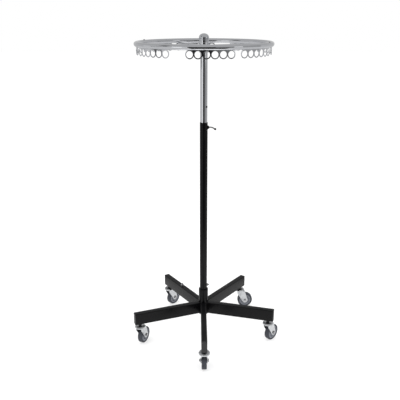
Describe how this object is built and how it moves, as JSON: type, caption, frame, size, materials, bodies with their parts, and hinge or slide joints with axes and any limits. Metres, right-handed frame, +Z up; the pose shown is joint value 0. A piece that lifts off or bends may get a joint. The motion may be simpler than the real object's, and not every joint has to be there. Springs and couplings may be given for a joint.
{
  "type": "rolling carousel stand",
  "caption": "Rolling five-leg stand with a telescoping mast and a rotating round rail carrying strips of hanging holes.",
  "frame": {"origin": "on the floor under the mast axis", "axes": "+Z up along the mast, -Y towards the front, where one leg points forward and the clamp lever is on the +X side"},
  "size_m": [0.661, 0.634, 1.359],
  "materials": {
    "black_frame": "satin powder coat",
    "black_plastic": "matte moulded plastic",
    "chrome": "bright chrome plate",
    "strip_chrome": "bright chrome plate on pressed strip",
    "zinc_fork": "bright zinc plate",
    "fastener_steel": "zinc plated steel",
    "black_stem": "black oxide",
    "tyre_rubber": "soft grey-black rubber",
    "wheel_core": "moulded grey plastic",
    "white_plastic": "white nylon",
    "spring_steel": "spring steel"
  },
  "bodies": {
    "base": {"base_socket": "black_frame", "leg_1": "black_frame", "leg_2": "black_frame", "leg_3": "black_frame", "leg_4": "black_frame", "leg_5": "black_frame", "leg_end_caps": "black_plastic", "caster_stems": "black_stem", "leg_cap_nut": "fastener_steel", "outer_mast": "black_frame", "clamp_boss": "black_frame", "mast_screw": "fastener_steel"},
    "inner_mast_body": {"inner_mast": "chrome", "inner_glide": "black_plastic", "top_plug": "black_plastic"},
    "stop_button": {"snap_button": "black_stem", "button_spring": "spring_steel"},
    "carousel": {"hub_sleeve": "chrome", "hub_bush": "white_plastic", "finial_cap": "chrome", "spoke_1": "chrome", "spoke_2": "chrome", "spoke_3": "chrome", "spoke_4": "chrome", "half_rail_a": "chrome", "half_rail_b": "chrome", "rail_joiners": "fastener_steel", "seam_screws": "fastener_steel", "hook_strip_1": "strip_chrome", "hook_strip_2": "strip_chrome", "hook_strip_3": "strip_chrome", "hook_strip_4": "strip_chrome", "hook_strip_5": "strip_chrome", "hook_strip_6": "strip_chrome", "hook_strip_7": "strip_chrome", "hook_strip_8": "strip_chrome"},
    "clamp_lever": {"clamp_screw": "fastener_steel", "lever_tip": "black_plastic"},
    "swivel_fork_1": {"caster_fork_1": "zinc_fork", "caster_axle_1": "fastener_steel"},
    "wheel_1": {"caster_tyre_1": "tyre_rubber", "caster_core_1": "wheel_core"},
    "swivel_fork_2": {"caster_fork_2": "zinc_fork", "caster_axle_2": "fastener_steel"},
    "wheel_2": {"caster_tyre_2": "tyre_rubber", "caster_core_2": "wheel_core"},
    "swivel_fork_3": {"caster_fork_3": "zinc_fork", "caster_axle_3": "fastener_steel"},
    "wheel_3": {"caster_tyre_3": "tyre_rubber", "caster_core_3": "wheel_core"},
    "swivel_fork_4": {"caster_fork_4": "zinc_fork", "caster_axle_4": "fastener_steel"},
    "wheel_4": {"caster_tyre_4": "tyre_rubber", "caster_core_4": "wheel_core"},
    "swivel_fork_5": {"caster_fork_5": "zinc_fork", "caster_axle_5": "fastener_steel"},
    "wheel_5": {"caster_tyre_5": "tyre_rubber", "caster_core_5": "wheel_core"}
  },
  "joints": [
    {"name": "mast_slide", "type": "slide", "parent": "base", "child": "inner_mast_body", "axis": [0, 0, 1], "range_m": [-0.06, 0.25]},
    {"name": "button_push", "type": "slide", "parent": "inner_mast_body", "child": "stop_button", "axis": [-0.766, 0.6428, 0], "range_m": [0, 0.0032], "stiffness_N_per_m": 500, "springref_m": -0.002},
    {"name": "carousel_turn", "type": "hinge", "parent": "inner_mast_body", "child": "carousel", "pos_m": [0, 0, 1.32], "axis": [0, 0, 1], "continuous": true},
    {"name": "clamp_turn", "type": "hinge", "parent": "base", "child": "clamp_lever", "pos_m": [0.0225, 0, 0.985], "axis": [1, 0, 0], "range_deg": [0, 360]},
    {"name": "swivel_1", "type": "hinge", "parent": "base", "child": "swivel_fork_1", "pos_m": [0.00426, -0.30497, 0.095], "axis": [0, 0, 1], "continuous": true},
    {"name": "roll_1", "type": "hinge", "parent": "swivel_fork_1", "child": "wheel_1", "pos_m": [0.00426, -0.27697, 0.0375], "axis": [-1, 0, 0], "continuous": true},
    {"name": "swivel_2", "type": "hinge", "parent": "base", "child": "swivel_fork_2", "pos_m": [0.29594, -0.07379, 0.095], "axis": [0, 0, 1], "continuous": true},
    {"name": "roll_2", "type": "hinge", "parent": "swivel_fork_2", "child": "wheel_2", "pos_m": [0.31539, -0.05364, 0.0375], "axis": [-0.7193, 0.6947, 0], "continuous": true},
    {"name": "swivel_3", "type": "hinge", "parent": "base", "child": "swivel_fork_3", "pos_m": [0.18567, 0.24197, 0.095], "axis": [0, 0, 1], "continuous": true},
    {"name": "roll_3", "type": "hinge", "parent": "swivel_fork_3", "child": "wheel_3", "pos_m": [0.21357, 0.24441, 0.0375], "axis": [-0.0872, 0.9962, 0], "continuous": true},
    {"name": "swivel_4", "type": "hinge", "parent": "base", "child": "swivel_fork_4", "pos_m": [-0.17538, 0.24954, 0.095], "axis": [0, 0, 1], "continuous": true},
    {"name": "roll_4", "type": "hinge", "parent": "swivel_fork_4", "child": "wheel_4", "pos_m": [-0.15664, 0.27034, 0.0375], "axis": [-0.7431, 0.6691, 0], "continuous": true},
    {"name": "swivel_5", "type": "hinge", "parent": "base", "child": "swivel_fork_5", "pos_m": [-0.28596, -0.10607, 0.095], "axis": [0, 0, 1], "continuous": true},
    {"name": "roll_5", "type": "hinge", "parent": "swivel_fork_5", "child": "wheel_5", "pos_m": [-0.27458, -0.08049, 0.0375], "axis": [-0.9135, 0.4067, 0], "continuous": true}
  ]
}
